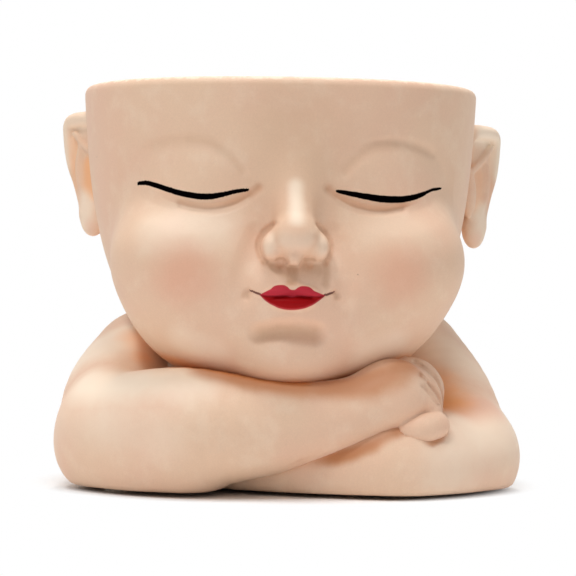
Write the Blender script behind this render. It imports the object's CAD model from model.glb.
"""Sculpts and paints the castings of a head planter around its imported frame."""

import math

import bmesh
import bpy
import numpy as np
from mathutils import Matrix, Vector


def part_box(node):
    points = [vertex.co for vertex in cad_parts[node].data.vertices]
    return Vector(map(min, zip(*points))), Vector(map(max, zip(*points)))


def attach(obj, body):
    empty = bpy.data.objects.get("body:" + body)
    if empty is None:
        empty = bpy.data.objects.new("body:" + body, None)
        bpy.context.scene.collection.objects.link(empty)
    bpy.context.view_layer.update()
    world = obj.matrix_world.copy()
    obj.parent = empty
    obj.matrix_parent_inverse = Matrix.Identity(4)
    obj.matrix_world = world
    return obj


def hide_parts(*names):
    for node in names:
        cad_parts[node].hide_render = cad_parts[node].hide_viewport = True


bl_info = {
    "name": "Head Planter",
    "version": (1, 0, 0),
    "blender": (4, 5, 0),
    "location": "View3D > Sidebar > Planter",
    "description": "Sculpts and paints the castings of a head planter around its packed frame",
    "category": "Object",
}

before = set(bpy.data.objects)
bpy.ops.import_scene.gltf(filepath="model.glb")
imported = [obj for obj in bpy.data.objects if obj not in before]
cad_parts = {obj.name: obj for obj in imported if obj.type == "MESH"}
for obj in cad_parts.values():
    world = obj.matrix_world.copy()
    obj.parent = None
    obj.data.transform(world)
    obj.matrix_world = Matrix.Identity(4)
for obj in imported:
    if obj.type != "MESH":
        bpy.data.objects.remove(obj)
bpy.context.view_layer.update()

# Sculpting is in millimetres about the head's upright axis, with the face along -Y
MM = 0.001
DRAIN_FORWARD = 12.0
PLUG_LOW, PLUG_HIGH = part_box("drain_plug")
HEAD_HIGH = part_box("head_bowl")[1]
AXIS = Vector(((PLUG_LOW.x + PLUG_HIGH.x) / 2, (PLUG_LOW.y + PLUG_HIGH.y) / 2 + DRAIN_FORWARD * MM, 0))
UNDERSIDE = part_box("foot_pad_front_right")[1].z / MM
TINY = 1e-6
REACH = 3.0


def srgb(red, green, blue):
    """A screen colour, 0 to 255, as the linear colour that a socket takes."""
    shares = [part / 255 for part in (red, green, blue)]
    linear = [s / 12.92 if s <= 0.04045 else ((s + 0.055) / 1.055) ** 2.4 for s in shares]
    return (*linear, 1.0)


def length_setting(name, description, default, least):
    return bpy.props.FloatProperty(
        name=name, description=description, unit="LENGTH", min=least, default=default)


def colour_setting(name, description, *shade):
    return bpy.props.FloatVectorProperty(
        name=name, description=description, subtype="COLOR", size=4, min=0.0, max=1.0, default=srgb(*shade))


class PlanterSizes(bpy.types.PropertyGroup):
    """Sizes of the planter's castings."""

    rim_half_width: length_setting("Rim half width", "Half the head's width at its rim", 0.0761, 0.03)
    rim_half_depth: length_setting(
        "Rim half depth", "Half the head's depth at its rim", HEAD_HIGH.y - AXIS.y, 0.03)
    rim_height: length_setting("Rim height", "Height of the rim above the table", HEAD_HIGH.z, 0.08)
    chin_height: length_setting("Chin height", "Height of the chin above the table", 0.041, 0.0)
    wall: length_setting("Wall", "Thickness of the head's wall", 0.007, 0.002)
    rim_round: length_setting("Rim rounding", "How far the rim's edges are rounded", 0.004, 0.0005)
    seam: length_setting("Seam", "How deep one casting is let into the next", 0.001, 0.0002)
    grain: length_setting("Mesh grain", "Size of the faces that a casting is made of", 0.0015, 0.0005)


class PlanterColours(bpy.types.PropertyGroup):
    """Paint and plastic colours of the planter."""

    skin: colour_setting("Skin", "Main tone of the skin paint", 238, 203, 174)
    skin_light: colour_setting("Light skin", "Paler tone on worn edges and high places", 254, 234, 211)
    skin_warm: colour_setting("Warm skin", "Pinker tone that the skin paint drifts to", 238, 192, 166)
    blush: colour_setting("Blush", "Airbrushed cheeks and elbows", 236, 148, 116)
    crease: colour_setting("Crease", "Airbrushed orange brown along the folds", 194, 120, 66)
    fold: colour_setting("Fold", "Bright orange sprayed deep in the folds", 254, 172, 96)
    shade: colour_setting("Shade", "Airbrushed olive brown of the soft lines in the face", 164, 112, 60)
    speck: colour_setting("Speck", "Stray specks in the skin paint", 138, 100, 74)
    lash: colour_setting("Lash", "Black of the lash lines", 4, 3, 4)
    lip_upper: colour_setting("Upper lip", "Red of the upper lip", 196, 52, 66)
    lip_lower: colour_setting("Lower lip", "Deep red of the lower lip", 160, 8, 14)
    lip_edge: colour_setting("Lip edge", "Pink where the lip paint thins out", 214, 84, 92)
    mouth_line: colour_setting("Mouth line", "Dark red brown of the parting and corners", 92, 8, 10)
    tube: colour_setting("Drain tube", "Plastic of the drain tube", 226, 222, 212)
    tube_dust: colour_setting("Tube dust", "Bloom on the drain tube", 196, 188, 172)
    plug: colour_setting("Drain plug", "Rubber of the stopper", 86, 84, 82)
    plug_dust: colour_setting("Plug dust", "Bloom on the stopper", 128, 122, 114)
    pad: colour_setting("Foot pads", "Foam of the foot pads", 206, 196, 184)
    pad_dust: colour_setting("Pad dust", "Dirt on the foot pads", 96, 92, 88)
    floor: colour_setting("Floor", "Pale floor under the planter", 246, 246, 246)


# Clay work: a form is where a lump or coil is and the distance to its skin, inside negative

COIL_PARTS = 5
GROOVE_PARTS = 4


class Form:
    """A lump or coil of clay."""

    def __init__(self, low, high, measure):
        self.low = low
        self.high = high
        self.measure = measure


def turned(points, degrees):
    """Points turned about the Y axis."""
    if not degrees:
        return points
    c, s = math.cos(math.radians(degrees)), math.sin(math.radians(degrees))
    x = c * points[:, 0] - s * points[:, 2]
    z = s * points[:, 0] + c * points[:, 2]
    return np.stack([x, points[:, 1], z], axis=1)


def lump(centre, radii, turn=0.0):
    """An egg-shaped lump, turned about Y by degrees."""
    centre, radii = np.array(centre, float), np.array(radii, float)

    def measure(points):
        local = turned(points - centre, turn) / radii
        stretch = np.linalg.norm(local, axis=1)
        slope = np.linalg.norm(local / radii, axis=1)
        return stretch * (stretch - 1) / np.maximum(slope, TINY)

    reach = radii if not turn else np.array([max(radii[0], radii[2]), radii[1], max(radii[0], radii[2])])
    return Form(centre - reach, centre + reach, measure)


def smooth_line(stations, parts):
    """Stations with points added between them on a smooth line through them."""
    stations = np.array(stations, float)
    if len(stations) < 3:
        return stations
    padded = np.vstack([2 * stations[0] - stations[1], stations, 2 * stations[-1] - stations[-2]])
    line = []
    for a, b, c, d in zip(padded[:-3], padded[1:-2], padded[2:-1], padded[3:]):
        for t in np.arange(parts) / parts:
            line.append(0.5 * (2 * b + (c - a) * t + (2 * a - 5 * b + 4 * c - d) * t**2
                               + (3 * b - a - 3 * c + d) * t**3))
    line.append(stations[-1])
    return np.array(line)


def line_gaps(points, line):
    """For each part of a line, the points' distances to it and their shares of the way along it."""
    for start, end in zip(line[:-1], line[1:]):
        along = end - start
        offset = points - start
        share = np.clip(offset @ along / max(along @ along, TINY), 0, 1)
        yield np.linalg.norm(offset - share[:, None] * along, axis=1), share


def coil(stations):
    """A coil of clay through (x, y, z, radius) stations, with round ends."""
    line = smooth_line(stations, COIL_PARTS)

    def measure(points):
        nearest = np.full(len(points), np.inf)
        for (gap, share), start, end in zip(line_gaps(points, line[:, :3]), line[:-1, 3], line[1:, 3]):
            nearest = np.minimum(nearest, gap - start - share * (end - start))
        return nearest

    low = (line[:, :3] - line[:, 3:]).min(axis=0)
    high = (line[:, :3] + line[:, 3:]).max(axis=0)
    return Form(low, high, measure)


def join(first, second, soft):
    """Both fields together, rounded over a soft width where they meet."""
    share = np.clip(0.5 + 0.5 * (second - first) / soft, 0, 1)
    return second + (first - second) * share - soft * share * (1 - share)


def keep_out(field, other, soft):
    """A field with another cut out of it."""
    return -join(-field, other, soft)


def smoothstep(values):
    values = np.clip(values, 0, 1)
    return values * values * (3 - 2 * values)


class Clay:
    """A field with forms pressed on and in, in order."""

    def __init__(self, start):
        self.start = start
        self.steps = []

    def on(self, form, soft):
        self.steps.append((form, soft + REACH, lambda field, other: join(field, other, soft)))

    def off(self, form, soft):
        self.steps.append((form, soft + REACH, lambda field, other: keep_out(field, other, soft)))

    def push(self, form):
        self.steps.append((form, 0.0, lambda field, depth: field + depth))

    def __call__(self, points):
        field = self.start(points)
        for form, margin, change in self.steps:
            near = np.all((points > form.low - margin) & (points < form.high + margin), axis=1)
            if near.any():
                field[near] = change(field[near], form.measure(points[near]))
        return field


FACE_FRONT = -40.0
FAR_FRONT = -200.0


def front_form(low, high, measure):
    """A form on the face, between two (x, z) corners seen from the front."""
    return Form(np.array([low[0], FAR_FRONT, low[1]]), np.array([high[0], FACE_FRONT, high[1]]), measure)


def swell(place, radii, height, power):
    """A rise of the skin over an oval, seen from the front; a negative height is a hollow."""
    place, radii = np.array(place, float), np.array(radii, float)

    def measure(points):
        share = np.clip(1 - (((points[:, (0, 2)] - place) / radii) ** 2).sum(axis=1), 0, 1)
        return -height * share**power

    return front_form(place - radii, place + radii, measure)


def groove(line, width, depth):
    """A soft groove in the skin along (x, z) points, seen from the front."""
    line = smooth_line(line, GROOVE_PARTS)

    def measure(points):
        nearest = np.min([gap for gap, _ in line_gaps(points[:, (0, 2)], line)], axis=0)
        return depth * np.clip(1 - (nearest / width) ** 2, 0, 1) ** 2

    return front_form(line.min(axis=0) - width, line.max(axis=0) + width, measure)


# The head

SECTION_POWER = 2.2
PROFILE_POWER = 3.0
SIDE_TAPER = 0.08
CHIN_LEAN = 21.0
LEAN_POWER = 2.4
FLOOR_THICKNESS = 10.0
SLOPE_STEP = 0.4
TUBE_HOLE = 8.0
CAVITY_SOFT = 1.0
SEAM_SOFT = 0.4


def bowl_level(points, half_width, half_depth, rim, bottom):
    drop = np.clip((rim - points[:, 2]) / (rim - bottom), 0, None)
    narrow = 1 - SIDE_TAPER * np.minimum(drop, 1)
    across = np.abs(points[:, 0]) / (half_width * narrow)
    along = np.abs(points[:, 1] + CHIN_LEAN * drop**LEAN_POWER) / (half_depth * narrow)
    round_share = across**SECTION_POWER + along**SECTION_POWER
    return (round_share ** (PROFILE_POWER / SECTION_POWER) + drop**PROFILE_POWER) ** (1 / PROFILE_POWER) - 1


def bowl(points, half_width, half_depth, rim, bottom):
    """Distance to the plain head form, open upwards."""
    sizes = (half_width, half_depth, rim, bottom)
    level = bowl_level(points, *sizes)
    slopes = [(bowl_level(points + step, *sizes) - level) / SLOPE_STEP for step in SLOPE_STEP * np.eye(3)]
    return level / np.maximum(np.sqrt(sum(slope**2 for slope in slopes)), TINY)


# The face isn't quite in the middle of the head
EYE_MIDDLE = 0.3
NOSE_MIDDLE = 0.7
MOUTH_MIDDLE = -0.4
# Face forms: centre, radii, turn, softness; a form off the middle is made on both sides
FACE_FORMS = (
    ((0, -38, 70), (56, 36, 31), 0, 14),
    ((38, -46.5, 86), (27.4, 24.5, 24.5), 0, 12),
    ((0, -57, 52), (18, 13.5, 11), 0, 8),
)
MUZZLE = ((0, -62.5, 73.5), (18, 13.5, 11.5), 0, 7)
# Rises and hollows of the skin: place, radii, height, power
SOCKET = ((36, 118), (31, 24), -2.6, 1.5)
LID = ((36.5, 117.0), (21.8, 13.6), 3.9, 1.3)
NOSE_BRIDGE = ((0, -60, 121, 6.4), (0, -66.5, 109, 6.8), (0, -74, 98, 6.8))
NOSE_BRIDGE_SOFT = 7.0
NOSE_FORMS = (
    ((0, -75.3, 94.2), (8.6, 7.6, 6.8), 0, 3.5),
    ((8.1, -72.5, 91.2), (5.1, 5.8, 5.4), 8, 1.6),
    ((-0.8, -75, 88), (3.0, 5.4, 4.2), 0, 1.4),
)
NOSTRIL = ((5.4, -79.0, 85.0), (2.9, 6.8, 2.9), 4, 0.5)
UPPER_LIP = {"place": (4.0, 75.1), "radii": (7.2, 4.2, 2.5), "turn": 12, "height": 1.9, "soft": 0.9}
LOWER_LIP = {"place": (0, 70.9), "radii": (9.2, 4.6, 2.9), "turn": 0, "height": 2.2, "soft": 1.0}
# Grooves: (x, z) points on the face, half width, depth
# They are made on both sides unless they start left of the middle or run down it
EYE_GROOVES = (
    (((12.6, 112), (15.1, 109.8), (18.1, 107.4), (24.8, 104.9), (32, 104.2), (40.2, 105.6)), 2.6, 1.1),
    (((51.8, 126.7), (45.4, 128.6), (37.8, 129.2), (29.9, 127.9), (23.7, 124.2), (18.6, 118.5)), 3.4, 0.7),
)
NOSE_GROOVES = (
    (((13.5, 95), (16.5, 88), (19, 80), (18, 73)), 6.0, 1.0),
    (((7.6, 99.0), (10.9, 96.4), (13.0, 92), (12.4, 88), (11.0, 85.4)), 1.6, 0.5),
)
MOUTH_GROOVES = (
    (((11.4, 73.7), (13.6, 74.4), (15.4, 75.2)), 1.0, 0.8),
    (((16.0, 74.2), (16.3, 73.2)), 2.2, 0.9),
    (((-11, 59.4), (-5, 60.6), (2, 60.8), (8.5, 59.8)), 5.5, 2.3),
    (((-10.8, 73.5), (-5, 73.1), (0, 72.9), (5, 73.1), (10.8, 73.5)), 0.9, 0.6),
    (((0, 83), (0, 79)), 2.6, 0.8),
)
FACE_SEARCH = (-110.0, -20.0)
SEARCH_ROUNDS = 40


class HeadForm:
    """The head's outside with its face, and the hollow inside it."""

    def __init__(self, sizes):
        self.rim = sizes.rim_height / MM
        self.chin = sizes.chin_height / MM
        self.half_width = sizes.rim_half_width / MM
        self.half_depth = sizes.rim_half_depth / MM
        self.wall = sizes.wall / MM
        self.rim_round = sizes.rim_round / MM
        self.clay = Clay(lambda p: bowl(p, self.half_width, self.half_depth, self.rim, self.chin))
        self.model_face()

    def face_y(self, x, z):
        """Where the face's skin is at a place seen from the front."""
        front, back = FACE_SEARCH
        for _ in range(SEARCH_ROUNDS):
            middle = (front + back) / 2
            if self.clay(np.array([[x, middle, z]]))[0] > 0:
                front = middle
            else:
                back = middle
        return (front + back) / 2

    def press(self, centre, radii, turn, soft, middle, outward=True):
        """Presses a lump on or in, and its mirror image if it is off the middle."""
        x, y, z = centre
        for side in ((1, -1) if x > 0 else (1,)):
            form = lump((middle + side * x, y, z), radii, side * turn)
            if outward:
                self.clay.on(form, soft)
            else:
                self.clay.off(form, soft)

    def press_lip(self, form):
        """Presses a lump on so that it stands the given height over the skin."""
        x, z = form["place"]
        y = self.face_y(MOUTH_MIDDLE + x, z) - form["height"] + form["radii"][1]
        self.press((x, y, z), form["radii"], form["turn"], form["soft"], MOUTH_MIDDLE)

    def cut_grooves(self, grooves, middle):
        for line, width, depth in grooves:
            for side in ((1,) if line[0][0] < 0 or line[0][0] == line[-1][0] == 0 else (1, -1)):
                self.clay.push(groove([(middle + side * x, z) for x, z in line], width, depth))

    def model_face(self):
        for form in FACE_FORMS:
            self.press(*form, EYE_MIDDLE)
        self.press(*MUZZLE, MOUTH_MIDDLE)
        for (x, z), radii, height, power in (SOCKET, LID):
            for side in (1, -1):
                self.clay.push(swell((EYE_MIDDLE + side * x, z), radii, height, power))
        self.clay.on(coil([(NOSE_MIDDLE + x, y, z, r) for x, y, z, r in NOSE_BRIDGE]), NOSE_BRIDGE_SOFT)
        for form in NOSE_FORMS:
            self.press(*form, NOSE_MIDDLE)
        self.press(*NOSTRIL, NOSE_MIDDLE, outward=False)
        self.press_lip(UPPER_LIP)
        self.press_lip(LOWER_LIP)
        self.cut_grooves(EYE_GROOVES, EYE_MIDDLE)
        self.cut_grooves(NOSE_GROOVES, NOSE_MIDDLE)
        self.cut_grooves(MOUTH_GROOVES, MOUTH_MIDDLE)

    def outside(self, points):
        return self.clay(points)

    def shell(self, points):
        """The outside without the hollow, the space above the rim and the drain's hole."""
        field = self.outside(points)
        hollow = bowl(points, self.half_width - self.wall, self.half_depth - self.wall, self.rim,
                      self.chin + FLOOR_THICKNESS)
        field = keep_out(field, hollow, CAVITY_SOFT)
        field = keep_out(field, self.rim - points[:, 2], self.rim_round)
        return keep_out(field, drain_hole(points), SEAM_SOFT)


def drain_hole(points):
    return np.hypot(points[:, 0], points[:, 1] + DRAIN_FORWARD) - TUBE_HOLE


# Ears, in their own frame: out of the head, across to the back edge, up

EAR_CENTRE = {-1: (-73.7, 9.0, 121.0), 1: (79.1, 9.0, 118.0)}
EAR_SPACE = (20, 24, 30)
EAR_SEAM_SOFT = 0.3
EAR_OPEN = 40.0
EAR_PLATES = (((-1.0, 0.8, 5.0), (2.6, 13.2, 17.4)), ((-0.8, -1.5, -10.0), (2.6, 6.0, 12.0)))
EAR_LOBE = ((0.3, -2.4, -19.2), (3.6, 6.2, 7.0))
EAR_TRAGUS = ((2.0, -9.2, -5.0), (2.8, 3.2, 9.2))
EAR_HELIX = ((1.2, -11, 4, 1.8), (1.4, -11.5, 12, 2.6), (1.2, -7, 18.8, 2.9), (1.0, 2, 19.8, 2.9),
             (0.8, 11.2, 18.8, 2.6), (0.6, 12.9, 12.8, 2.1), (0.6, 10.6, 3, 2.2), (0.6, 6.6, -5, 2.1),
             (0.6, 3.4, -12, 2.2), (0.4, 1.6, -17, 2.4))
EAR_CRUS = ((1.6, 8, 14, 1.2), (1.8, 0, 8.5, 1.4), (2.2, -10, 3, 1.6))
EAR_ANTIHELIX = ((1.2, 3.5, 10, 1.3), (1.6, 5, 2, 1.6), (1.6, 3, -6, 1.6), (1.2, -0.5, -12, 1.5))
EAR_PLATE_SOFT = 4.0
EAR_RIM_SOFT = 1.4
EAR_CRUS_SOFT = 1.0
EAR_TRAGUS_SOFT = 1.6
EAR_LOBE_SOFT = 3.0


class EarForm:
    """One ear, open to the front, with its rim, folds and lobe."""

    def __init__(self, side):
        turn = math.radians(EAR_OPEN)
        out = (side * math.cos(turn), -math.sin(turn), 0)
        across = (side * math.sin(turn), math.cos(turn), 0)
        self.centre = np.array(EAR_CENTRE[side])
        self.axes = np.array([out, across, (0, 0, 1)]).T
        self.clay = Clay(lump(*EAR_PLATES[0]).measure)
        self.clay.on(lump(*EAR_PLATES[1]), EAR_PLATE_SOFT)
        self.clay.on(coil(EAR_HELIX), EAR_RIM_SOFT)
        self.clay.on(coil(EAR_CRUS), EAR_CRUS_SOFT)
        self.clay.on(coil(EAR_ANTIHELIX), EAR_RIM_SOFT)
        self.clay.on(lump(*EAR_TRAGUS), EAR_TRAGUS_SOFT)
        self.clay.on(lump(*EAR_LOBE), EAR_LOBE_SOFT)

    def spot(self, out, across, up):
        """A place on the ear as a place about the head's axis."""
        return tuple(float(v) for v in self.centre + self.axes @ np.array([out, across, up]))

    def __call__(self, points):
        return self.clay((points - self.centre) @ self.axes)


# Arms: (x, y, z, radius) stations from the shoulder to the elbow and from the elbow to the wrist

RIGHT_UPPER = ((-49.3, 20, 41.9, 24.6), (-57.6, -9, 31.2, 25.0), (-62.2, -31, 21, 22.2))
RIGHT_FORE = ((-60.6, -36, 21.4, 22.0), (-38, -55, 24.2, 22.4), (-12, -60, 25.0, 18.2),
              (5, -61.5, 27.0, 15.0), (22, -60.5, 30.1, 13.5), (37.0, -57.6, 35.4, 12.6))
RIGHT_SOLE = ((-68.4, -33, 14, 15.2), (-55, -48, 13.5, 16.2), (-38, -56, 14, 16.5))
RIGHT_FOLD = (-48.0, -76.0, 1.4, 8.0)
LEFT_UPPER = ((52.5, 20, 43.5, 25.2), (61.8, -4, 30.4, 22.9), (66.9, -31, 14.5, 20.5))
LEFT_FORE = ((67.2, -36, 12.2, 20.0), (42, -57.2, 10.8, 18.4), (13.2, -53.8, 8.6, 15.4),
             (-13.2, -43.6, 8.1, 12.9))
LEFT_SOLE = ((70.3, -30, 11, 16.3), (60, -46, 10, 17.2), (42, -58, 9, 17.2))
LEFT_FOLD = (58.0, 80.0, 2.0, 10.0)
PALM = ((39.5, -57.0, 37.5), (13.0, 14.0, 11.5), 10)
FINGERS = (
    ((43, -48, 46.2, 4.9), (49.6, -48, 45.0, 4.8), (54.0, -48, 40.2, 4.5), (54.4, -48, 33.5, 4.1)),
    ((42, -55.5, 43.8, 5.0), (49.0, -55.5, 42.0, 4.8), (53.0, -55.5, 37.0, 4.5), (53.3, -55, 31.0, 4.1)),
    ((40, -62, 39.8, 5.2), (47.3, -62.5, 37.8, 4.9), (51.8, -62, 32.6, 4.5), (52.3, -61, 27.5, 4.0)),
)
FINGER_LINES = (
    ((47.0, 49.2), (50.5, 46.8), (54.2, 43.3), (57.0, 37.6), (57.6, 33.5)),
    ((47.5, 44.7), (51.2, 41.1), (54.9, 36.2), (56.4, 31.8)),
    ((47.7, 41.2), (50.8, 38.2), (54.0, 34.0)),
)
LITTLE_FINGER = ((44.0, -66.5, 24.0, 5.4), (48.6, -67.2, 25.3, 5.8), (53.2, -65.5, 26.6, 5.2))
FINGER_LINE_SIZE = (1.1, 1.1)
FINGER_SOFT = 0.9
LITTLE_FINGER_SOFT = 0.7
PALM_SOFT = 8.0
SOLE_SOFT = 6.0
SOLE_ROUND = 2.0


def arm_form(upper, fore, sole, fold):
    """An arm with a crisp fold on the inside of its elbow, a round outside and a full underside."""
    first, second = coil(upper).measure, coil(fore).measure
    inner, outer, crisp, full = fold

    def start(points):
        soft = crisp + (full - crisp) * smoothstep((points[:, 0] - inner) / (outer - inner))
        return join(first(points), second(points), soft)

    clay = Clay(start)
    clay.on(coil(sole), SOLE_SOFT)
    return clay


def right_arm_form():
    clay = arm_form(RIGHT_UPPER, RIGHT_FORE, RIGHT_SOLE, RIGHT_FOLD)
    clay.on(lump(*PALM), PALM_SOFT)
    for finger in FINGERS:
        clay.on(coil(finger), FINGER_SOFT)
    for line in FINGER_LINES:
        clay.push(groove(line, *FINGER_LINE_SIZE))
    clay.on(coil(LITTLE_FINGER), LITTLE_FINGER_SOFT)
    return clay


def left_arm_form():
    return arm_form(LEFT_UPPER, LEFT_FORE, LEFT_SOLE, LEFT_FOLD)


TORSO = ((0, 7, 18), (68, 62, 48))


def above_table(field, points):
    """A field cut level over the foot pads, with a small round at the edge."""
    return keep_out(field, points[:, 2] - UNDERSIDE, SOLE_ROUND)


# From a field to a mesh

PROBE = 0.05
LEAST_SLOPE = 0.04
SETTLE_ROUNDS = 3
FINE_ROUNDS = 2


def corner(values, offsets):
    return values[tuple(slice(o, values.shape[k] - 1 + o) for k, o in enumerate(offsets))]


def cell_points(values):
    """One point in each cell that the skin passes through, and the number of each cell's point."""
    shape = tuple(n - 1 for n in values.shape)
    total = np.zeros((*shape, 3))
    count = np.zeros(shape, int)
    for axis in range(3):
        others = [k for k in range(3) if k != axis]
        for u in (0, 1):
            for v in (0, 1):
                offsets = [0, 0, 0]
                offsets[others[0]], offsets[others[1]] = u, v
                start = corner(values, offsets)
                offsets[axis] = 1
                end = corner(values, offsets)
                crossed = (start < 0) != (end < 0)
                total[crossed, axis] += start[crossed] / (start[crossed] - end[crossed])
                total[crossed, others[0]] += u
                total[crossed, others[1]] += v
                count += crossed
    used = count > 0
    number = np.full(shape, -1)
    number[used] = np.arange(used.sum())
    return np.argwhere(used) + total[used] / count[used][:, None], number


def cell_faces(values, number):
    """A four-sided face round each grid edge that the skin crosses."""
    faces = []
    for axis in range(3):
        start = np.moveaxis(values, axis, 0)[:-1]
        end = np.moveaxis(values, axis, 0)[1:]
        cells = np.moveaxis(number, axis, 0)
        inside = start[:, 1:-1, 1:-1] < 0
        crossed = inside != (end[:, 1:-1, 1:-1] < 0)
        i, j, k = np.nonzero(crossed)
        corners = ((0, 0), (1, 0), (1, 1), (0, 1))
        ring = np.stack([cells[i, j + up, k + on] for up, on in corners], axis=1)
        flip = inside[crossed] == (axis == 1)
        ring[flip] = ring[flip][:, ::-1]
        faces.append(ring)
    return np.concatenate(faces)


def settle(field, points, limit, rounds):
    """Moves points onto a field's skin."""
    for _ in range(rounds):
        value = field(points)
        slope = np.stack([(field(points + step) - value) / PROBE for step in PROBE * np.eye(3)], axis=1)
        size = np.maximum((slope**2).sum(axis=1), LEAST_SLOPE)
        points = points - (np.clip(value, -limit, limit) / size)[:, None] * slope
    return points


def clear_crumbs(shape):
    """Takes away the crumbs that a cut leaves beside a casting."""
    left = set(shape.faces)
    parts = []
    while left:
        queue = [left.pop()]
        part = []
        while queue:
            face = queue.pop()
            part.append(face)
            near = {other for edge in face.edges for other in edge.link_faces} & left
            left -= near
            queue += near
        parts.append(part)
    parts.sort(key=len)
    crumbs = [face for part in parts[:-1] for face in part]
    bmesh.ops.delete(shape, geom=crumbs, context="FACES")


def sculpt(name, field, low, high, step, fine=()):
    """A mesh of a field's skin, its faces halved once more for each fine test that they pass."""
    axes = [np.arange(a - 2 * step, b + 3 * step, step) for a, b in zip(low, high)]
    grid = np.stack(np.meshgrid(*axes, indexing="ij"), axis=-1)
    values = field(grid.reshape(-1, 3)).reshape(grid.shape[:3])
    values[values == 0] = TINY
    cells, number = cell_points(values)
    origin = np.array([axis[0] for axis in axes])
    points = settle(field, origin + step * cells, step / 2, SETTLE_ROUNDS)
    mesh = bpy.data.meshes.new(name)
    mesh.from_pydata(points.tolist(), [], cell_faces(values, number).tolist())
    shape = bmesh.new()
    shape.from_mesh(mesh)
    clear_crumbs(shape)
    for test in fine:
        chosen = [face for face in shape.faces if test(face.calc_center_median())]
        edges = {edge for face in chosen for edge in face.edges}
        bmesh.ops.subdivide_edges(shape, edges=list(edges), cuts=1, use_grid_fill=True)
    shape.to_mesh(mesh)
    shape.free()
    flat = np.empty(3 * len(mesh.vertices))
    mesh.vertices.foreach_get("co", flat)
    points = flat.reshape(-1, 3)
    if fine:
        points = settle(field, points, step / 4, FINE_ROUNDS)
    mesh.vertices.foreach_set("co", (points * MM + np.array(AXIS)).ravel())
    mesh.polygons.foreach_set("use_smooth", [True] * len(mesh.polygons))
    mesh.update()
    piece = bpy.data.objects.new(name, mesh)
    bpy.context.collection.objects.link(piece)
    return piece


def carry(piece, node, material):
    """Puts a casting in the place of its node, on the body that does not move."""
    piece.data.materials.clear()
    piece.data.materials.append(material)
    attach(piece, "planter")
    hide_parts(node)


# Materials

NOISE_LOW, NOISE_HIGH = 0.3, 0.7
VECTOR, COLOUR, VALUE = "NodeSocketVector", "NodeSocketColor", "NodeSocketFloat"


class Wiring:
    """Short calls that add and join the nodes of one tree."""

    def __init__(self, tree):
        self.tree = tree

    def node(self, kind, **settings):
        node = self.tree.nodes.new(kind)
        for name, value in settings.items():
            setattr(node, name, value)
        return node

    def feed(self, socket, source):
        if isinstance(source, bpy.types.NodeSocket):
            self.tree.links.new(source, socket)
        else:
            socket.default_value = source

    def math(self, operation, *sources, clamp=False):
        node = self.node("ShaderNodeMath", operation=operation, use_clamp=clamp)
        for socket, source in zip(node.inputs, sources):
            self.feed(socket, source)
        return node.outputs[0]

    def times(self, first, *others):
        """The product of masks or values."""
        for other in others:
            first = self.math("MULTIPLY", first, other)
        return first

    def minus(self, first, second):
        return self.math("SUBTRACT", first, second)

    def within(self, value, low, high):
        """One between two limits, else zero."""
        return self.times(self.math("GREATER_THAN", value, low), self.math("LESS_THAN", value, high))

    def axes(self, source):
        node = self.node("ShaderNodeSeparateXYZ")
        self.feed(node.inputs[0], source)
        return node.outputs

    def vector(self, operation, *sources, output="Vector"):
        node = self.node("ShaderNodeVectorMath", operation=operation)
        for socket, source in zip(node.inputs, sources):
            self.feed(socket, source)
        return node.outputs[output]

    def scaled(self, source, factor):
        node = self.node("ShaderNodeVectorMath", operation="SCALE")
        self.feed(node.inputs[0], source)
        self.feed(node.inputs["Scale"], factor)
        return node.outputs["Vector"]

    def mix(self, share, first, second, blend="MIX"):
        node = self.node("ShaderNodeMix", data_type="RGBA", blend_type=blend)
        self.feed(node.inputs["Factor"], share)
        self.feed(node.inputs[6], first)
        self.feed(node.inputs[7], second)
        return node.outputs[2]

    def spread(self, value, low, high, to_low=0.0, to_high=1.0, soft=True):
        """A value carried from one range to another."""
        node = self.node("ShaderNodeMapRange", interpolation_type="SMOOTHSTEP" if soft else "LINEAR")
        for socket, source in zip(node.inputs, (value, low, high, to_low, to_high)):
            self.feed(socket, source)
        return node.outputs[0]

    def noise(self, place, scale, detail, roughness=0.5):
        node = self.node("ShaderNodeTexNoise")
        self.feed(node.inputs["Vector"], place)
        self.feed(node.inputs["Scale"], scale)
        node.inputs["Detail"].default_value = detail
        node.inputs["Roughness"].default_value = roughness
        return node.outputs["Fac"]

    def wander(self, place, size, *noise):
        """A value that drifts about zero, by up to a size."""
        return self.spread(self.noise(place, *noise), NOISE_LOW, NOISE_HIGH, -size, size)

    def curve(self, value, points):
        """A smooth curve through (x, y) points that are in real units."""
        low_x, high_x = points[0][0], points[-1][0]
        low_y, high_y = min(p[1] for p in points), max(p[1] for p in points)
        share = self.spread(value, low_x, high_x, soft=False)
        node = self.node("ShaderNodeFloatCurve")
        self.feed(node.inputs["Value"], share)
        mapping = node.mapping
        line = mapping.curves[0]
        spots = [((x - low_x) / (high_x - low_x), (y - low_y) / (high_y - low_y)) for x, y in points]
        line.points[0].location = spots[0]
        line.points[1].location = spots[-1]
        for spot in spots[1:-1]:
            line.points.new(*spot)
        mapping.update()
        return self.spread(node.outputs[0], 0.0, 1.0, low_y, high_y, soft=False)

    def group(self, tree, **sources):
        node = self.node("ShaderNodeGroup", node_tree=tree)
        for name, source in sources.items():
            self.feed(node.inputs[name], source)
        return node.outputs


def new_group(name, inputs, outputs):
    """An empty node group with named sockets, and its wiring."""
    tree = bpy.data.node_groups.new(name, "ShaderNodeTree")
    for way, sockets in (("INPUT", inputs), ("OUTPUT", outputs)):
        for label, kind in sockets:
            tree.interface.new_socket(name=label, in_out=way, socket_type=kind)
    wires = Wiring(tree)
    return tree, wires, wires.node("NodeGroupInput").outputs, wires.node("NodeGroupOutput").inputs


def shared_group(name, build):
    return bpy.data.node_groups.get(name) or build(name)


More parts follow.
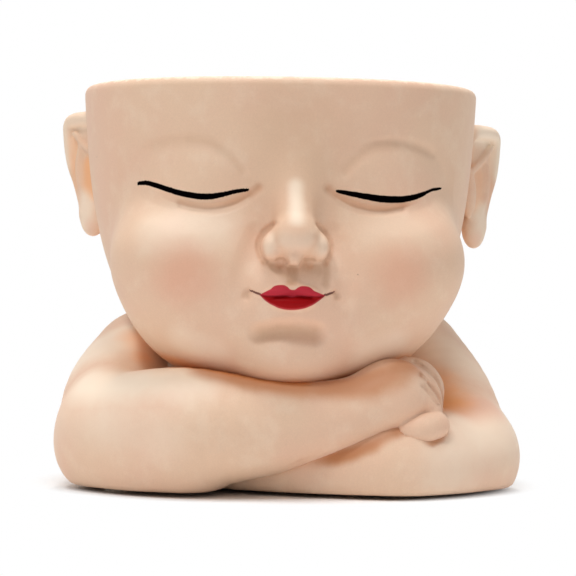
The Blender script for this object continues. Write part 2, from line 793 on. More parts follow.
def build_place(name):
    """Where a point is, in millimetres about the head's axis."""
    tree, wires, _, out = new_group(name, (), (("Place", VECTOR),))
    spot = wires.node("ShaderNodeTexCoord").outputs["Object"]
    wires.feed(out["Place"], wires.scaled(wires.vector("SUBTRACT", spot, tuple(AXIS)), 1 / MM))
    return tree


STROKE_LEAST = 0.01
STROKE_DRIFT = 0.045
STROKE_NOISE = (0.16, 3.0, 0.5)


def build_airbrush(name):
    """A soft stroke of paint between two points."""
    tree, wires, given, out = new_group(
        name,
        (("Place", VECTOR), ("Start", VECTOR), ("End", VECTOR),
         ("Core", VALUE), ("Fade", VALUE), ("Strength", VALUE)),
        (("Mask", VALUE),))
    offset = wires.vector("SUBTRACT", given["Place"], given["Start"])
    way = wires.vector("SUBTRACT", given["End"], given["Start"])
    length = wires.math("MAXIMUM", wires.vector("DOT_PRODUCT", way, way, output="Value"), STROKE_LEAST)
    share = wires.math("DIVIDE", wires.vector("DOT_PRODUCT", offset, way, output="Value"), length, clamp=True)
    gap = wires.vector("LENGTH", wires.vector("SUBTRACT", offset, wires.scaled(way, share)), output="Value")
    drift = wires.wander(given["Place"], STROKE_DRIFT, *STROKE_NOISE)
    edge = wires.math("ADD", gap, wires.times(drift, given["Fade"]))
    far = wires.math("ADD", given["Core"], given["Fade"])
    wires.feed(out["Mask"], wires.times(wires.spread(edge, given["Core"], far, 1.0, 0.0), given["Strength"]))
    return tree


# Noises: scale, detail, roughness. Ranges: from low, from high, to low, to high
SURFACE = (("Colour", COLOUR), ("Roughness", VALUE), ("Height", VALUE))
SKIN_SLOW = (0.022, 3.0, 0.55)
SKIN_PATCH = (0.11, 4.0, 0.6)
SKIN_FINE = (1.7, 3.0, 0.7)
WARM_RANGE = (0.35, 0.7, 0.0, 0.55)
PALE_RANGE = (0.45, 0.75, 0.0, 0.22)
SPECKLE_RANGE = (0.2, 0.8, 0.955, 1.045)
SKIN_ROUGHNESS = (0.25, 0.75, 0.46, 0.58)
SPECK_SCALE = 0.075
SPECK_RANGE = (0.016, 0.034, 0.55, 0.0)
SPECK_RARE = 0.6
PORE_HEIGHT = 0.05
PATCH_HEIGHT = 0.12
SKIN_BUMP = 0.25
SKIN_GLOSS = 0.3
CLOUD = (0.35, 4.0, 0.6)
CLOUD_DUST = (0.4, 0.75, 0.0, 0.4)
CLOUD_ROUGHNESS = (0.3, 0.7, 0.5, 0.72)
TOOTH_DETAIL = 3.0
TOOTH_HEIGHT = 0.12


def build_skin(name):
    """Sprayed skin paint on cast resin: slow drift of tone, fine speckle and stray specks."""
    tree, wires, given, out = new_group(
        name,
        (("Place", VECTOR), ("Skin", COLOUR), ("Light", COLOUR), ("Warm", COLOUR), ("Speck", COLOUR)),
        SURFACE)
    place = given["Place"]
    slow, patch, fine = (wires.noise(place, *noise) for noise in (SKIN_SLOW, SKIN_PATCH, SKIN_FINE))
    tone = wires.mix(wires.spread(slow, *WARM_RANGE), given["Skin"], given["Warm"])
    tone = wires.mix(wires.spread(patch, *PALE_RANGE), tone, given["Light"])
    speckle = wires.spread(fine, *SPECKLE_RANGE, soft=False)
    grey = wires.node("ShaderNodeCombineColor")
    for socket in grey.inputs[:3]:
        wires.feed(socket, speckle)
    tone = wires.mix(1.0, tone, grey.outputs[0], "MULTIPLY")
    cells = wires.node("ShaderNodeTexVoronoi", feature="F1")
    wires.feed(cells.inputs["Vector"], place)
    cells.inputs["Scale"].default_value = SPECK_SCALE
    chance = wires.node("ShaderNodeSeparateColor")
    wires.feed(chance.inputs[0], cells.outputs["Color"])
    speck = wires.times(wires.spread(cells.outputs["Distance"], *SPECK_RANGE),
                        wires.math("GREATER_THAN", chance.outputs[0], SPECK_RARE))
    wires.feed(out["Colour"], wires.mix(speck, tone, given["Speck"]))
    wires.feed(out["Roughness"], wires.spread(patch, *SKIN_ROUGHNESS))
    height = wires.math("ADD", wires.times(fine, PORE_HEIGHT), wires.times(patch, PATCH_HEIGHT))
    wires.feed(out["Height"], height)
    return tree


def build_moulding(name):
    """Moulded rubber and plastic: cloudy tone, fine tooth and a dusty bloom."""
    tree, wires, given, out = new_group(
        name, (("Place", VECTOR), ("Tone", COLOUR), ("Dust", COLOUR), ("Tooth", VALUE)), SURFACE)
    cloud = wires.noise(given["Place"], *CLOUD)
    tooth = wires.noise(given["Place"], given["Tooth"], TOOTH_DETAIL)
    wires.feed(out["Colour"], wires.mix(wires.spread(cloud, *CLOUD_DUST), given["Tone"], given["Dust"]))
    wires.feed(out["Roughness"], wires.spread(cloud, *CLOUD_ROUGHNESS))
    wires.feed(out["Height"], wires.times(tooth, TOOTH_HEIGHT))
    return tree


def place_group():
    return shared_group("Planter millimetres", build_place)


def new_material(name):
    material = bpy.data.materials.new(name)
    material.use_nodes = True
    material.node_tree.nodes.clear()
    return material, Wiring(material.node_tree)


def finish_surface(wires, colour, roughness, height, bump, specular):
    """The shader of a painted or moulded surface."""
    shader = wires.node("ShaderNodeBsdfPrincipled")
    wires.feed(shader.inputs["Specular IOR Level"], specular)
    wires.feed(shader.inputs["Base Color"], colour)
    wires.feed(shader.inputs["Roughness"], roughness)
    node = wires.node("ShaderNodeBump")
    node.inputs["Strength"].default_value = bump
    node.inputs["Distance"].default_value = MM
    wires.feed(node.inputs["Height"], height)
    wires.feed(shader.inputs["Normal"], node.outputs[0])
    wires.feed(wires.node("ShaderNodeOutputMaterial").inputs["Surface"], shader.outputs[0])


def skin_base(wires, colours):
    """The skin paint that every casting starts with."""
    place = wires.group(place_group())["Place"]
    skin = wires.group(shared_group("Sprayed skin", build_skin), Place=place, Skin=colours.skin,
                       Light=colours.skin_light, Warm=colours.skin_warm, Speck=colours.speck)
    return place, skin


def brush(wires, place, colour, paint, strokes):
    """Airbrush strokes of one paint over a colour: (start, end, core, fade, strength)."""
    tree = shared_group("Airbrush stroke", build_airbrush)
    whole = None
    for start, end, core, fade, strength in strokes:
        stroke = wires.group(
            tree, Place=place, Start=start, End=end, Core=core, Fade=fade, Strength=strength)
        mask = stroke["Mask"]
        whole = mask if whole is None else wires.math("MAXIMUM", whole, mask)
    return wires.mix(whole, colour, paint)


def along(points, core, fade, strength):
    """Strokes from point to point, or a dab at a single one."""
    return [(a, b, core, fade, strength) for a, b in zip(points, points[1:] or points)]


# Lines painted on the face: (x, z) points and, for a line of changing width, (x, half width) points

LEFT_LASH = ((-56.1, 113.6), (-53.7, 113.9), (-50.5, 113.2), (-45.0, 111.3), (-38.4, 109.5), (-31.5, 108.75),
             (-26.0, 109.5), (-20.0, 110.9), (-16.0, 111.4))
RIGHT_LASH = ((15.4, 111.4), (20.3, 110.6), (26.9, 109.5), (33.5, 108.7), (38.0, 108.65), (43.0, 109.3),
              (48.3, 110.9), (52.5, 112.7), (57.0, 113.6))
LEFT_LASH_WIDTH = ((-56.1, 0.55), (-55.0, 0.75), (-50.0, 0.98), (-44.0, 1.06), (-32.0, 1.14), (-24.0, 0.88),
                   (-18.0, 0.66), (-16.0, 0.1))
RIGHT_LASH_WIDTH = ((15.4, 0.1), (17.5, 0.75), (25.0, 1.1), (33.0, 1.3), (43.0, 1.15), (48.5, 0.9),
                    (51.5, 0.6), (54.0, 0.6), (57.0, 0.1))
LASHES = ((LEFT_LASH, LEFT_LASH_WIDTH), (RIGHT_LASH, RIGHT_LASH_WIDTH))
LEFT_UNDER = ((-49.0, 109.8), (-40.2, 105.7), (-32.0, 104.3), (-24.8, 105.0), (-18.1, 107.6), (-13.5, 111.2))
RIGHT_UNDER = ((13.5, 111.2), (18.1, 107.6), (24.8, 105.0), (32.0, 104.2), (40.2, 105.6), (49.0, 109.6))
UNDER_LIDS = ((LEFT_UNDER, LEFT_LASH), (RIGHT_UNDER, RIGHT_LASH))
LIP_TOP = ((-11.6, 73.7), (-8.2, 75.6), (-4.0, 77.3), (-2.0, 76.7), (-0.1, 75.6), (1.9, 76.5), (3.9, 77.0),
           (7.9, 75.2), (11.9, 73.7))
LIP_LOW = ((-11.6, 73.5), (-9.2, 71.1), (-7.0, 69.8), (-3.5, 68.5), (-0.3, 68.2), (3.2, 68.6), (6.2, 69.6),
           (9.0, 71.2), (11.9, 73.5))
LIP_PARTING = ((-11.6, 73.6), (-6.4, 73.1), (-2.4, 73.2), (-0.3, 72.8), (1.8, 73.2), (6.1, 73.1),
               (11.9, 73.6))
LEFT_CORNER = ((-15.2, 75.3), (-13.3, 74.5), (-11.2, 73.7))
LEFT_CORNER_WIDTH = ((-15.2, 0.12), (-13.3, 0.4), (-11.2, 0.42))
RIGHT_CORNER = ((11.4, 73.7), (13.9, 74.4), (15.6, 75.1))
RIGHT_CORNER_WIDTH = ((11.4, 0.42), (13.9, 0.4), (15.6, 0.12))
CORNERS = ((LEFT_CORNER, LEFT_CORNER_WIDTH), (RIGHT_CORNER, RIGHT_CORNER_WIDTH))
CORNER_STRENGTH = 0.85
LASH_WOBBLE = (0.12, 1.4, 2.0)
LASH_EDGE = (-0.1, 0.12)
UNDER_LOW_EDGE = (-0.5, 0.4)
UNDER_LASH_EDGE = (-0.2, 0.2)
UNDER_DEPTH = (0.2, 4.2, 0.42, 0.18)
LIP_TOP_EDGE = (-0.1, 0.2)
LIP_LOW_EDGE = (-0.1, 0.25)
LIP_CHANGE = (-0.25, 0.35)
LIP_BORDER = (0.1, 1.1, 0.6, 0.0)
LIP_LINE = (0.05, 0.6, 0.3, 0.0)
LIP_SHINE = 0.04
LIP_DULL = 0.7
WORN_NOISE = (0.5, 0.3, 3.0)
WORN_LOW = 1.3
WORN_HIGH = 0.2
WORN_STRENGTH = 0.7

# Strokes on the face: middle, sides, (x, z) points, core, fade, strength
ONE, BOTH = (1,), (-1, 1)
FACE_BLUSH = (
    (0, BOTH, ((39, 81),), 2.0, 17.0, 0.34),
    (0, ONE, ((1, 93),), 1.0, 8.0, 0.12),
)
FACE_SHADE = (
    (0, ONE, ((-10, 59.6), (-5, 60.8), (2, 61.2), (7.5, 60.2)), 0.2, 5.0, 0.32),
    (0, ONE, ((-7, 83.0), (9, 83.0)), 0.6, 5.0, 0.16),
    (0, ONE, ((-10.2, 85.4), (-6.2, 82.6), (-1.2, 79.4)), 0.3, 2.8, 0.34),
    (0, ONE, ((-0.6, 83.3), (-0.6, 79.0)), 0.8, 3.6, 0.34),
    (0, ONE, ((4.5, 83.6), (9.0, 82.6)), 0.8, 3.4, 0.24),
    (0, ONE, ((11.9, 86.0), (11.9, 81.5), (11.7, 77.6)), 0.3, 2.4, 0.26),
    (0, ONE, ((0, 112), (0, 132)), 4.0, 26.0, 0.14),
    (NOSE_MIDDLE, BOTH, ((7.6, 98.8), (11.1, 96.2), (13.1, 91.5), (12.4, 87)), 0.1, 1.9, 0.28),
    (NOSE_MIDDLE, BOTH, ((3.8, 86.4), (6.6, 86.4)), 0.4, 1.4, 0.3),
    (EYE_MIDDLE, BOTH, ((50, 127.2), (45.4, 128.4), (37.8, 129.0)), 0.1, 3.4, 0.06),
    (EYE_MIDDLE, BOTH, ((37.8, 129.0), (29.9, 127.9), (23.7, 124.2), (18.6, 118.5)), 0.1, 3.4, 0.13),
    (MOUTH_MIDDLE, BOTH, ((16.0, 73.4), (16.0, 73.5)), 0.2, 2.2, 0.2),
)
JAW_FOLD = (
    (0, ONE, ((-54, 57), (-40, 48), (-20, 43), (2, 41.0), (22, 43.0), (40, 49), (54, 56)), 0.5, 6.0, 0.6),
)
EYE_CREASE = (
    (EYE_MIDDLE, BOTH, ((12.6, 112.2), (15.1, 110.0)), 0.1, 2.6, 0.3),
)
FACE_LIGHTS = (
    (0, ONE, ((-48, 97), (-38, 99), (-28, 98)), 1.0, 14.0, 0.48),
    (0, ONE, ((30, 97), (38, 98), (46, 97)), 1.0, 10.0, 0.15),
    (NOSE_MIDDLE, ONE, ((0, 113), (0, 107), (0, 100.5)), 0.2, 4.4, 0.75),
    (NOSE_MIDDLE, ONE, ((-4, 93), (3, 93)), 0.5, 5.0, 0.36),
    (NOSE_MIDDLE, BOTH, ((9.2, 94), (10, 90)), 0.3, 3.6, 0.4),
    (0, BOTH, ((38, 56), (28, 52)), 2.0, 8.0, 0.4),
)


def lash_mask(wires, x, z, line, width):
    """A hand-painted line of changing width."""
    off = wires.math("ADD", wires.minus(z, wires.curve(x, line)), wires.wander(x, *LASH_WOBBLE))
    over = wires.minus(wires.curve(x, width), wires.math("ABSOLUTE", off))
    return wires.times(wires.spread(over, *LASH_EDGE), wires.within(x, line[0][0], line[-1][0]))


def under_lid(wires, x, z, low, lash):
    """The strip between a lash and the lower lid, with a clear lower edge."""
    height = wires.minus(z, wires.curve(x, low))
    below = wires.spread(wires.minus(wires.curve(x, lash), z), *UNDER_LASH_EDGE)
    start = wires.spread(x, low[0][0], low[1][0])
    end = wires.spread(x, low[-2][0], low[-1][0], 1.0, 0.0)
    above = wires.spread(height, *UNDER_LOW_EDGE)
    return wires.times(above, below, start, end, wires.spread(height, *UNDER_DEPTH))


def on_both_sides(wires, mask, x, z, front, pairs):
    """A mask on the left and the right of the face, and nowhere else on the head."""
    left, right = (mask(wires, x, z, *pair) for pair in pairs)
    return wires.times(wires.math("MAXIMUM", left, right), front)


def paint_lips(wires, x, z, front, colour, colours):
    """Red lips with a lighter upper lip, a pink lower border and a dark parting."""
    top, low, parting = (wires.curve(x, line) for line in (LIP_TOP, LIP_LOW, LIP_PARTING))
    height = wires.minus(z, low)
    from_parting = wires.minus(z, parting)
    mask = wires.times(wires.spread(wires.minus(top, z), *LIP_TOP_EDGE), wires.spread(height, *LIP_LOW_EDGE),
                       wires.within(x, LIP_TOP[0][0], LIP_TOP[-1][0]), front)
    red = wires.mix(wires.spread(from_parting, *LIP_CHANGE), colours.lip_lower, colours.lip_upper)
    red = wires.mix(wires.spread(height, *LIP_BORDER), red, colours.lip_edge)
    line = wires.spread(wires.math("ABSOLUTE", from_parting), *LIP_LINE)
    red = wires.mix(line, red, colours.mouth_line)
    return wires.mix(mask, colour, red), mask


def face_strokes(head, rows):
    """Strokes that lie on the face's skin."""
    strokes = []
    for middle, sides, points, *soft in rows:
        for side in sides:
            line = [(middle + side * x, z) for x, z in points]
            strokes += along([(x, head.face_y(x, z), z) for x, z in line], *soft)
    return strokes


def head_material(colours, head):
    """Skin paint with the face painted on its outside."""
    material, wires = new_material("head_paint")
    place, skin = skin_base(wires, colours)
    x, y, z = wires.axes(place)
    eye_x, mouth_x = wires.minus(x, EYE_MIDDLE), wires.minus(x, MOUTH_MIDDLE)
    facing = wires.axes(wires.node("ShaderNodeTexCoord").outputs["Normal"])["Y"]
    front = wires.times(wires.math("LESS_THAN", y, FACE_FRONT), wires.math("LESS_THAN", facing, 0.0))

    def coat(colour, paint, rows):
        return brush(wires, place, colour, paint, face_strokes(head, rows))

    colour = coat(skin["Colour"], colours.blush, FACE_BLUSH)
    colour = coat(colour, colours.shade, FACE_SHADE)
    colour = coat(colour, colours.fold, JAW_FOLD)
    colour = coat(colour, colours.crease, EYE_CREASE)
    under = on_both_sides(wires, under_lid, eye_x, z, front, UNDER_LIDS)
    colour = coat(wires.mix(under, colour, colours.crease), colours.skin_light, FACE_LIGHTS)
    corners = on_both_sides(wires, lash_mask, mouth_x, z, front, CORNERS)
    colour = wires.mix(wires.times(corners, CORNER_STRENGTH), colour, colours.mouth_line)
    colour, lips = paint_lips(wires, mouth_x, z, front, colour, colours)
    uneven = wires.math("ADD", z, wires.wander(place, *WORN_NOISE))
    worn = wires.spread(uneven, head.rim - WORN_LOW, head.rim - WORN_HIGH, 0.0, WORN_STRENGTH)
    colour = wires.mix(worn, colour, colours.skin_light)
    lash = on_both_sides(wires, lash_mask, eye_x, z, front, LASHES)
    colour = wires.mix(lash, colour, colours.lash)
    roughness = wires.minus(skin["Roughness"], wires.times(lips, LIP_SHINE))
    painted = wires.math("MAXIMUM", lash, wires.times(lips, LIP_DULL))
    gloss = wires.times(wires.minus(1.0, painted), SKIN_GLOSS)
    finish_surface(wires, colour, roughness, skin["Height"], SKIN_BUMP, gloss)
    return material


def limb_material(name, colours, coats):
    """Skin paint with further coats: (name of the paint, rows of strokes)."""
    material, wires = new_material(name)
    place, skin = skin_base(wires, colours)
    colour = skin["Colour"]
    for paint, rows in coats:
        strokes = [stroke for row in rows for stroke in along(*row)]
        colour = brush(wires, place, colour, getattr(colours, paint), strokes)
    finish_surface(wires, colour, skin["Roughness"], skin["Height"], SKIN_BUMP, SKIN_GLOSS)
    return material


def moulded_material(name, tone, dust, tooth, specular, bump):
    """Moulded rubber, plastic or foam."""
    material, wires = new_material(name)
    place = wires.group(place_group())["Place"]
    tree = shared_group("Moulded tooth", build_moulding)
    look = wires.group(tree, Place=place, Tone=tone, Dust=dust, Tooth=tooth)
    finish_surface(wires, look["Colour"], look["Roughness"], look["Height"], bump, specular)
    return material


# Paint of the limbs: rows of points, core, fade, strength

EAR_SPRAY = {-1: 1.3, 1: 0.6}
EAR_RIM_LIGHT = {-1: 0.6, 1: 1.0}
EAR_RIM_LIGHTS = ((((2, 12, 4), (2, 12, 17), (2, -2, 19)), 1.0, 6.0, 1.0),)
EAR_LOBE_LIGHTS = ((((2, -1, -12), (2, -2, -20)), 2.0, 5.0, 0.7),)
EAR_BLUSH = ((((2, -4, -22),), 1.0, 4.0, 0.2),)
EAR_FOLDS = (
    (((1, 8.5, 12), (1, 8, 4), (1, 5.5, -6)), 0.6, 3.2, 0.25),
    (((1, -1, 2), (1, -2, -6), (1, -5, -9)), 1.2, 4.0, 0.4),
    (((1, -8, 16), (1, -8, 6)), 0.8, 3.5, 0.3),
)
RIGHT_ARM_COATS = (
    ("skin_light", (
        (((-72, -8, 44), (-66, -14, 52), (-58, -12, 58)), 6.0, 14.0, 0.9),
        (((-72, -42, 38), (-54, -57, 39), (-36, -64, 38)), 3.0, 15.0, 1.0),
        (((-82, -30, 20), (-76, -38, 24), (-60, -56, 26), (-44, -66, 24)), 4.0, 13.0, 0.65),
    )),
    ("blush", ((((-78, -36, 22),), 4.0, 18.0, 0.12),)),
    ("fold", (
        (((-38, -50, 48), (-46, -38, 50), (-51, -29, 53)), 0.5, 9.0, 0.75),
        (((-48, -24, 56), (-54, -14, 60)), 1.0, 12.0, 0.45),
        (((-40, -52, 47.5), (-25, -60, 46), (-11, -64, 44.5), (4, -65, 43)), 1.0, 5.0, 0.8),
    )),
    ("crease", (
        (((-30, -62, 44), (-16, -66, 42.5), (4, -68, 40.5), (18, -68, 40.5), (30, -68, 41.5), (37, -67, 43.5),
          (43, -62, 48)), 2.5, 7.0, 0.7),
        (((41, -67, 25.6), (38, -69, 23.6), (30.4, -72, 19.2), (21.4, -72, 16.3), (10.6, -72, 14.7),
          (4.5, -72, 13.4), (-3.7, -71, 9.4), (-11, -70, 6.6)), 0.2, 2.0, 0.6),
    )),
)
LEFT_ARM_COATS = (
    ("skin_light", (
        (((54, -64, 12), (66, -54, 20), (76, -46, 20), (82, -38, 22)), 3.0, 17.0, 0.75),
        (((60, -10, 56), (70, -14, 42)), 4.0, 12.0, 0.6),
    )),
    ("blush", ((((68, -46, 32), (76, -40, 32)), 2.0, 10.0, 0.3),)),
    ("fold", ((((52, -30, 53), (58, -34, 46), (60, -42, 37)), 3.0, 13.0, 0.8),)),
    ("crease", (
        (((41, -67, 24.5), (38, -69, 22.6), (30.4, -71, 19.2), (21.4, -71, 16.3), (10.6, -71, 14.7),
          (4.5, -71, 13.4), (-3.7, -70, 9.4), (-11, -68, 6.6)), 1.0, 4.0, 0.85),
        (((41, -70, 21), (46, -71, 19.6), (51, -71, 20.2), (55.5, -69, 22.4), (57.8, -66, 26)),
         0.4, 1.8, 0.7),
    )),
)
TORSO_COATS = (
    ("skin_light", ((((-30, 50, 58), (30, 50, 58)), 4.0, 12.0, 0.4),)),
    ("blush", ((((0, 66, 20),), 4.0, 16.0, 0.1),)),
    ("crease", ((((-46, 40, 56), (-20, 56, 58), (20, 56, 58), (46, 40, 56)), 1.0, 8.0, 0.5),)),
)


def ear_rows(ear, rows, share=1.0):
    """Rows of strokes carried from the ear's own frame, at a share of their strength."""
    return [([ear.spot(*point) for point in points], core, fade, strength * share)
            for points, core, fade, strength in rows]


def ear_coats(ear, side):
    lights = ear_rows(ear, EAR_RIM_LIGHTS, EAR_RIM_LIGHT[side]) + ear_rows(ear, EAR_LOBE_LIGHTS)
    return (("skin_light", lights), ("blush", ear_rows(ear, EAR_BLUSH)),
            ("fold", ear_rows(ear, EAR_FOLDS, EAR_SPRAY[side])))


# Operators

HEAD_GRAIN = 1.1
EAR_GRAIN = 0.6
TORSO_GRAIN = 1.15
FACE_REACH = -86
CHIN_ROOM = 3
# Finer faces: half width, low and high of places seen from the front, and how far back they go
EYE_ZONE = (61, 99, 134)
MIDDLE_ZONE = (23, 53, 104)
MOUTH_ZONE = (18, 64, 101)
FACE_BACK = -38
MOUTH_BACK = -60
RIM_ZONE = 3
HAND_CORNER = (36, -38, 18)
RIGHT_ARM_SPACE = ((-90, -84, 0), (62, 46, 68))
LEFT_ARM_SPACE = ((-32, -82, 0), (92, 48, 70))
TORSO_SPACE = ((-70, -58, 0), (70, 71, 68))


def grain(sizes, share=1.0):
    return sizes.grain / MM * share * 1.0


def in_zone(spot, zone):
    half_width, low, high = zone
    return abs(spot.x) < half_width and low < spot.z < high


def face_area(spot):
    return spot.y < FACE_BACK and (in_zone(spot, EYE_ZONE) or in_zone(spot, MIDDLE_ZONE))


def mouth_area(spot):
    return spot.y < MOUTH_BACK and in_zone(spot, MOUTH_ZONE)


def hand_area(spot):
    x, y, z = HAND_CORNER
    return spot.x > x and spot.y < y and spot.z > z


class PLANTER_OT_head(bpy.types.Operator):
    """Sculpt the hollow head with its face and paint it"""

    bl_idname = "planter.head"
    bl_label = "Head"

    def execute(self, context):
        sizes, colours = context.scene.planter_sizes, context.scene.planter_colours
        head = HeadForm(sizes)
        low = (-head.half_width, FACE_REACH, head.chin - CHIN_ROOM)
        high = (head.half_width, head.half_depth, head.rim)

        def face_or_rim(spot):
            return face_area(spot) or spot.z > head.rim - RIM_ZONE

        fine = ((face_or_rim, mouth_area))
        piece = sculpt("head_casting", head.shell, low, high, grain(sizes, HEAD_GRAIN), fine)
        carry(piece, "head_bowl", head_material(colours, head))
        return {"FINISHED"}


class PLANTER_OT_ears(bpy.types.Operator):
    """Sculpt and paint both ears"""

    bl_idname = "planter.ears"
    bl_label = "Ears"

    def execute(self, context):
        sizes, colours = context.scene.planter_sizes, context.scene.planter_colours
        head = HeadForm(sizes)
        for side, label in ((-1, "right"), (1, "left")):
            ear = EarForm(side)

            def field(points):
                return keep_out(ear(points), head.outside(points) + sizes.seam / MM, EAR_SEAM_SOFT)

            low, high = ear.centre - EAR_SPACE, ear.centre + EAR_SPACE
            piece = sculpt(f"{label}_ear_casting", field, low, high, grain(sizes, EAR_GRAIN))
            material = limb_material(f"{label}_ear_paint", colours, ear_coats(ear, side))
            carry(piece, f"{label}_ear", material)
        return {"FINISHED"}


class PLANTER_OT_arms(bpy.types.Operator):
    """Sculpt and paint the two folded arms"""

    bl_idname = "planter.arms"
    bl_label = "Arms"

    def execute(self, context):
        sizes, colours = context.scene.planter_sizes, context.scene.planter_colours
        seam = sizes.seam / MM
        head, right, left = HeadForm(sizes), right_arm_form(), left_arm_form()

        def right_field(points):
            return above_table(keep_out(right(points), head.outside(points) + seam, SEAM_SOFT), points)

        def left_field(points):
            field = keep_out(left(points), head.outside(points) + seam, SEAM_SOFT)
            return above_table(keep_out(field, right(points) + seam, SEAM_SOFT), points)

        step = grain(sizes)
        fine = ((hand_area,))
        piece = sculpt("right_arm_casting", right_field, *RIGHT_ARM_SPACE, step, fine)
        carry(piece, "right_arm", limb_material("right_arm_paint", colours, RIGHT_ARM_COATS))
        piece = sculpt("left_arm_casting", left_field, *LEFT_ARM_SPACE, step)
        carry(piece, "left_arm", limb_material("left_arm_paint", colours, LEFT_ARM_COATS))
        return {"FINISHED"}


class PLANTER_OT_torso(bpy.types.Operator):
    """Sculpt and paint the back that the head sits on"""

    bl_idname = "planter.torso"
    bl_label = "Torso"

    def execute(self, context):
        sizes, colours = context.scene.planter_sizes, context.scene.planter_colours
        seam = sizes.seam / MM
        head, right, left = HeadForm(sizes), right_arm_form(), left_arm_form()
        block = lump(*TORSO)

        def field(points):
            level = keep_out(block.measure(points), head.outside(points) + seam, SEAM_SOFT)
            for arm in (right, left):
                level = keep_out(level, arm(points) + seam, SEAM_SOFT)
            return keep_out(above_table(level, points), drain_hole(points), SEAM_SOFT)

        piece = sculpt("torso_casting", field, *TORSO_SPACE, grain(sizes, TORSO_GRAIN))
        carry(piece, "torso", limb_material("torso_paint", colours, TORSO_COATS))
        return {"FINISHED"}


# Moulded pieces: size of the tooth, shine, bump
TUBE_MOULDING = (1.2, 0.5, 0.2)
PLUG_MOULDING = (2.6, 0.35, 0.4)
PAD_MOULDING = (4.0, 0.2, 0.8)


class PLANTER_OT_drain(bpy.types.Operator):
    """Give the drain tube and its plug their plastic and rubber"""

    bl_idname = "planter.drain"
    bl_label = "Drain"

    def execute(self, context):
        colours = context.scene.planter_colours
        tube = moulded_material("drain_tube_plastic", colours.tube, colours.tube_dust, *TUBE_MOULDING)
        plug = moulded_material("drain_plug_rubber", colours.plug, colours.plug_dust, *PLUG_MOULDING)
        dress(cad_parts["drain_tube"], tube)
        dress(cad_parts["drain_plug"], plug)
        return {"FINISHED"}


class PLANTER_OT_pads(bpy.types.Operator):
    """Give the foot pads their foam"""

    bl_idname = "planter.pads"
    bl_label = "Foot pads"

    def execute(self, context):
        colours = context.scene.planter_colours
        foam = moulded_material("foot_pad_foam", colours.pad, colours.pad_dust, *PAD_MOULDING)
        for node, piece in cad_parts.items():
            if node.startswith("foot_pad"):
                dress(piece, foam)
        return {"FINISHED"}


def dress(piece, material):
    """Gives a node that stays its better material."""
    for slot in piece.material_slots:
        slot.material = material
    if not piece.material_slots:
        raise RuntimeError(f"{piece.name} has no material slot")


# Stage

CAMERA_AZIMUTH = -4.3
CAMERA_AIM = -4.375
CAMERA_PITCH = 0.56
CAMERA_ROLL = 0.65
CAMERA_DISTANCE = 0.88
CAMERA_HEIGHT = 0.0841
CAMERA_LENS = 141.86
SENSOR_WIDTH = 36.0
WHITE = (1, 1, 1, 1)
FLOOR_SIZE = 6.0
# The floor turns from paper with a shadow to plain white between two multiples of the footprint's half sizes
FOOTPRINT = (0.088, 0.076, 1.0)
FLOOR_NEAR = 0.92
FLOOR_FAR = 1.15
WORLD_SIDE = 0.14
WORLD_TOP = 0.66
# Lamps: name, place, aim, size, power
LAMPS = (
    ("key_lamp", (-0.55, -0.6, 1.5), (0, 0, 0.09), 0.25, 7.2),
    ("top_lamp", (0.0, 0.0, 1.7), (0, 0, 0.08), 0.5, 13.2),
)


def area_lamp(name, place, target, size, power):
    lamp = bpy.data.lights.new(name, "AREA")
    lamp.shape = "DISK"
    lamp.size = size
    lamp.energy = power
    item = bpy.data.objects.new(name, lamp)
    item.location = place
    item.rotation_euler = (Vector(target) - Vector(place)).to_track_quat("-Z", "Y").to_euler()
    bpy.context.collection.objects.link(item)


def seen_directly(wires):
    """One where a camera, glossy or transmission ray looks at a surface."""
    rays = wires.node("ShaderNodeLightPath").outputs
    seen = wires.math("MAXIMUM", rays["Is Camera Ray"], rays["Is Glossy Ray"])
    return wires.math("MAXIMUM", seen, rays["Is Transmission Ray"])


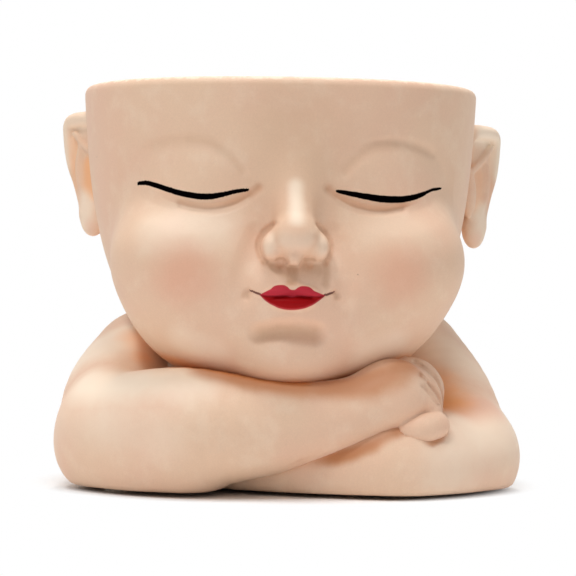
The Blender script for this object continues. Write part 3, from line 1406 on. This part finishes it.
class PLANTER_OT_stage(bpy.types.Operator):
    """Set up the floor, the soft studio light and the camera"""

    bl_idname = "planter.stage"
    bl_label = "Stage"

    def execute(self, context):
        scene, colours = context.scene, context.scene.planter_colours
        scene.view_settings.view_transform = "Standard"
        self.add_floor(colours)
        self.add_light(scene)
        self.add_camera(scene)
        return {"FINISHED"}

    def add_floor(self, colours):
        mesh = bpy.data.meshes.new("floor")
        h = FLOOR_SIZE / 2
        mesh.from_pydata([(-h, -h, 0), (h, -h, 0), (h, h, 0), (-h, h, 0)], [], [(0, 1, 2, 3)])
        floor = bpy.data.objects.new("floor", mesh)
        bpy.context.collection.objects.link(floor)
        material, wires = new_material("floor_paper")
        diffuse = wires.node("ShaderNodeBsdfDiffuse")
        diffuse.inputs["Color"].default_value = colours.floor
        paper = wires.node("ShaderNodeEmission")
        paper.inputs["Color"].default_value = WHITE
        spot = wires.node("ShaderNodeTexCoord").outputs["Object"]
        reach = wires.vector("DIVIDE", spot, FOOTPRINT)
        far = wires.spread(wires.vector("LENGTH", reach, output="Value"), FLOOR_NEAR, FLOOR_FAR)
        both = wires.node("ShaderNodeMixShader")
        wires.feed(both.inputs[0], wires.times(seen_directly(wires), far))
        wires.feed(both.inputs[1], diffuse.outputs[0])
        wires.feed(both.inputs[2], paper.outputs[0])
        wires.feed(wires.node("ShaderNodeOutputMaterial").inputs["Surface"], both.outputs[0])
        mesh.materials.append(material)

    def add_light(self, scene):
        for lamp in LAMPS:
            area_lamp(*lamp)
        world = bpy.data.worlds.new("studio")
        scene.world = world
        world.use_nodes = True
        world.node_tree.nodes.clear()
        wires = Wiring(world.node_tree)
        aim = wires.axes(wires.node("ShaderNodeTexCoord").outputs["Generated"])
        level = wires.spread(aim["Z"], 0.0, 1.0, WORLD_SIDE, WORLD_TOP)
        back = wires.node("ShaderNodeBackground")
        back.inputs["Color"].default_value = WHITE
        seen = seen_directly(wires)
        plain = wires.times(wires.minus(1.0, seen), level)
        wires.feed(back.inputs["Strength"], wires.math("ADD", plain, seen))
        wires.feed(wires.node("ShaderNodeOutputWorld").inputs["Surface"], back.outputs[0])

    def add_camera(self, scene):
        camera = bpy.data.cameras.new("camera")
        camera.lens = CAMERA_LENS
        camera.sensor_width = SENSOR_WIDTH
        item = bpy.data.objects.new("camera", camera)
        bpy.context.collection.objects.link(item)
        turn = math.radians(CAMERA_AZIMUTH)
        place = Vector((CAMERA_DISTANCE * math.sin(turn), -CAMERA_DISTANCE * math.cos(turn), CAMERA_HEIGHT))

        def turned_by(degrees, axis):
            return Matrix.Rotation(math.radians(degrees), 4, axis)

        aim = turned_by(CAMERA_AIM, "Z") @ turned_by(90 - CAMERA_PITCH, "X") @ turned_by(CAMERA_ROLL, "Z")
        item.matrix_world = Matrix.Translation(place) @ aim
        scene.camera = item


class PLANTER_PT_pieces(bpy.types.Panel):
    """Lists the planter's pieces, sizes and colours"""

    bl_idname = "PLANTER_PT_pieces"
    bl_label = "Head Planter"
    bl_space_type = "VIEW_3D"
    bl_region_type = "UI"
    bl_category = "Planter"

    def draw(self, context):
        for operator in OPERATORS:
            self.layout.operator(operator.bl_idname)
        for group in (context.scene.planter_sizes, context.scene.planter_colours):
            box = self.layout.box()
            for name in group.__annotations__:
                box.prop(group, name)


OPERATORS = (PLANTER_OT_head, PLANTER_OT_ears, PLANTER_OT_arms, PLANTER_OT_torso, PLANTER_OT_drain,
             PLANTER_OT_pads, PLANTER_OT_stage)
CLASSES = (PlanterSizes, PlanterColours, *OPERATORS, PLANTER_PT_pieces)


def register():
    for item in CLASSES:
        bpy.utils.register_class(item)
    bpy.types.Scene.planter_sizes = bpy.props.PointerProperty(type=PlanterSizes)
    bpy.types.Scene.planter_colours = bpy.props.PointerProperty(type=PlanterColours)


def unregister():
    del bpy.types.Scene.planter_colours
    del bpy.types.Scene.planter_sizes
    for item in reversed(CLASSES):
        bpy.utils.unregister_class(item)


def main():
    register()
    bpy.ops.planter.head()
    bpy.ops.planter.ears()
    bpy.ops.planter.arms()
    bpy.ops.planter.torso()
    bpy.ops.planter.drain()
    bpy.ops.planter.pads()
    bpy.ops.planter.stage()


if __name__ == "__main__":
    main()
